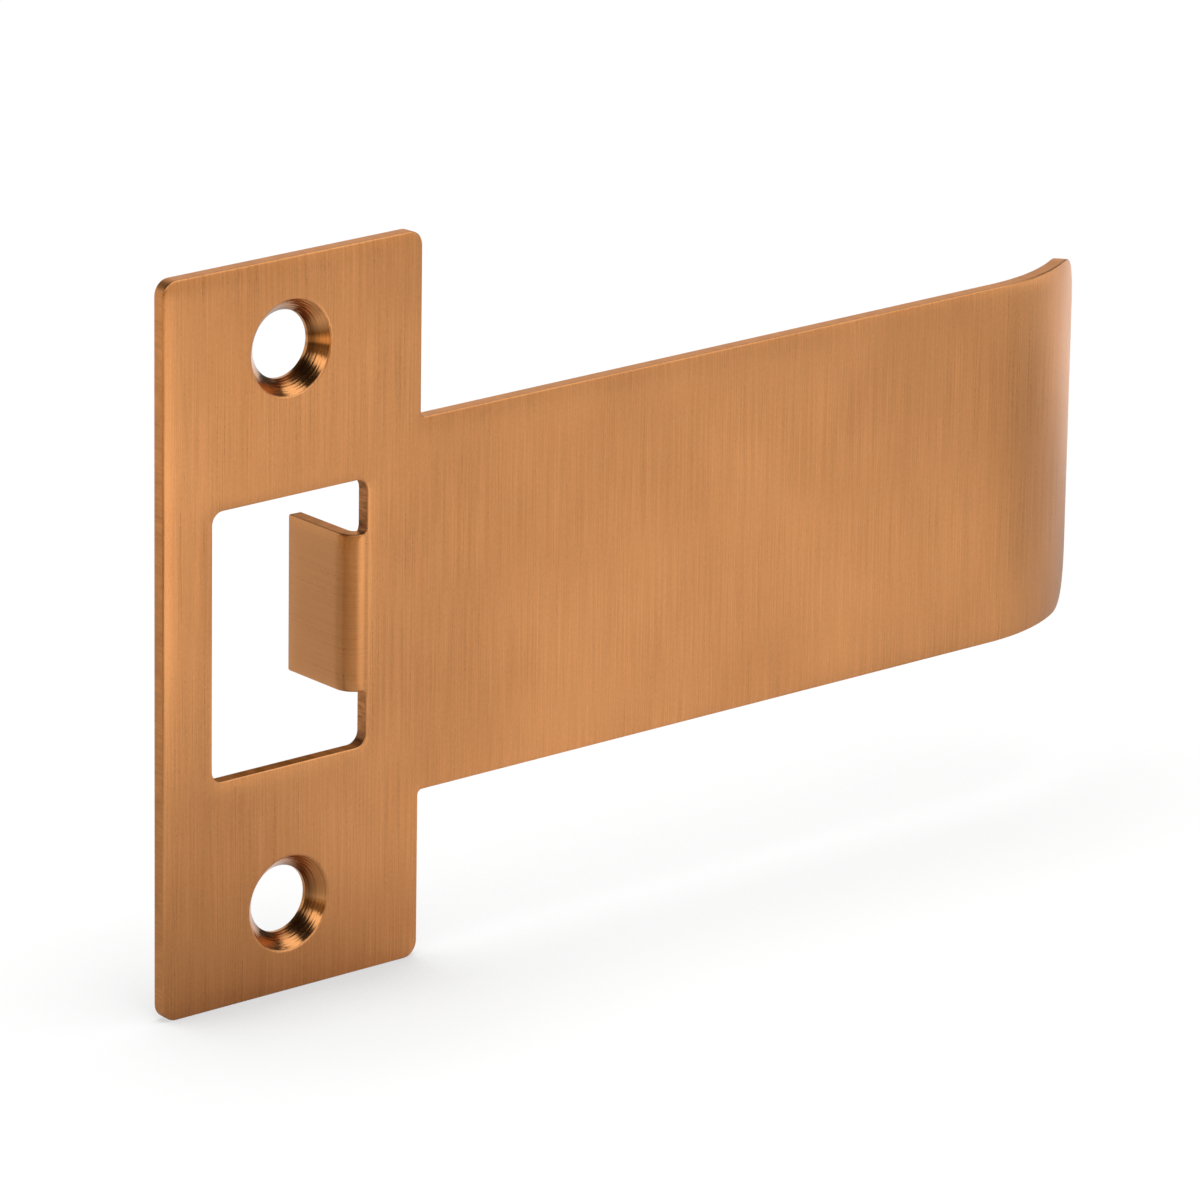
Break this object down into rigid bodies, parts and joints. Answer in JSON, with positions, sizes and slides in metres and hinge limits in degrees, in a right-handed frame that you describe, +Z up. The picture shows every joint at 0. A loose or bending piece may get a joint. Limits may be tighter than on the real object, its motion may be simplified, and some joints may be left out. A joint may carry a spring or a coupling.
{
  "type": "door strike plate",
  "caption": "Stamped one-piece door strike: upright plate with countersunk screw holes, a latch window with a tab folded back, and a long flat lip that curls back at its free end.",
  "frame": {"origin": "on the back face of the plate, midway between the two screw holes", "axes": "+X along the lip towards its curled end, +Y out of the back face into the door jamb, +Z up the plate"},
  "size_m": [0.1168, 0.0092, 0.07],
  "materials": {
    "brushed_bronze": "fine upright brushing, satin"
  },
  "bodies": {
    "root": {"strike_plate": "brushed_bronze"}
  },
  "joints": []
}
